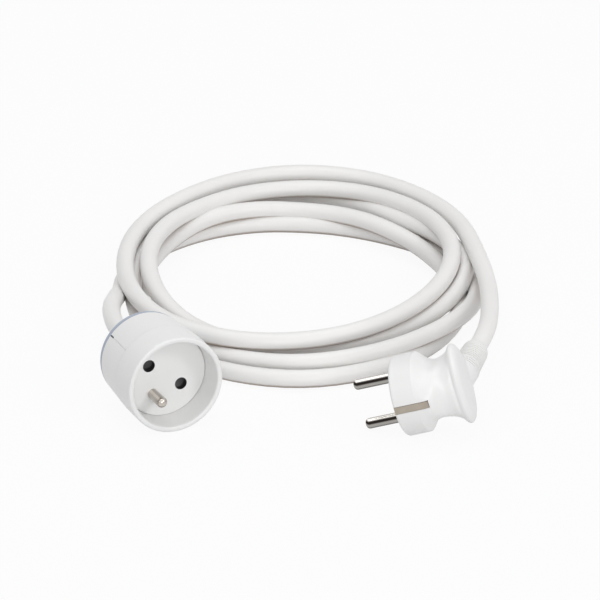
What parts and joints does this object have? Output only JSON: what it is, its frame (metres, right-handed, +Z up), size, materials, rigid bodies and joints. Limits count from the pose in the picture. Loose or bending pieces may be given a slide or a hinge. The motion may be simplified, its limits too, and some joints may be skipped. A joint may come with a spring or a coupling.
{
  "type": "mains extension cord",
  "caption": "Household extension lead: coiled round cable with a round socket that has an earth pin and a shutter, and an angled two-pin plug with a finger grip.",
  "frame": {"origin": "on the ground under the middle of the socket", "axes": "+Z up; +Y along the socket's axis from its open well to its cable; +X to the right of the socket, seen from its well"},
  "size_m": [0.2271, 0.2851, 0.045],
  "materials": {
    "white_plastic": "satin moulded plastic",
    "grey_plastic": "matt moulded plastic",
    "rear_plastic": "satin moulded plastic",
    "cable_jacket": "smooth flexible plastic jacket",
    "sleeve_plastic": "matt flexible plastic",
    "nickel": "bright nickel plating",
    "strap_nickel": "nickel-plated strip",
    "contact_brass": "bare brass",
    "screw_steel": "zinc-plated steel",
    "spring_steel": "drawn wire",
    "core_line": "smooth insulation",
    "core_neutral": "smooth insulation",
    "core_earth": "smooth insulation"
  },
  "bodies": {
    "lead": {"front_collar": "white_plastic", "face_plate": "white_plastic", "shutter_spring": "spring_steel", "contact_carrier": "grey_plastic", "line_contact": "contact_brass", "neutral_contact": "contact_brass", "earth_pin": "nickel", "earth_terminal": "contact_brass", "terminal_screws": "screw_steel", "shell_upper": "white_plastic", "shell_lower": "white_plastic", "rear_ring": "rear_plastic", "socket_grip": "grey_plastic", "socket_grip_screws": "screw_steel", "socket_sleeve": "sleeve_plastic", "socket_core_line": "core_line", "socket_core_neutral": "core_neutral", "socket_core_earth": "core_earth", "plug_base": "white_plastic", "plug_cover": "white_plastic", "plug_pin_upper": "nickel", "plug_pin_lower": "nickel", "earth_strap": "strap_nickel", "earth_tube": "contact_brass", "plug_terminal_screws": "screw_steel", "cover_screw": "screw_steel", "plug_grip": "grey_plastic", "plug_grip_screws": "screw_steel", "plug_sleeve": "sleeve_plastic", "plug_core_line": "core_line", "plug_core_neutral": "core_neutral", "plug_core_earth": "core_earth", "cord_coil": "cable_jacket", "cord_socket_lead": "cable_jacket", "cord_plug_lead": "cable_jacket", "cord_socket_end": "cable_jacket", "cord_plug_end": "cable_jacket"},
    "shutter": {"shutter": "grey_plastic"}
  },
  "joints": [
    {"name": "shutter_turn", "type": "hinge", "parent": "lead", "child": "shutter", "pos_m": [0, -0.0039, 0.0225], "axis": [0, 1, 0], "range_deg": [0, 40], "stiffness_Nm_per_rad": 0.002, "springref_deg": -20.05, "deforming": ["shutter_spring"]}
  ]
}
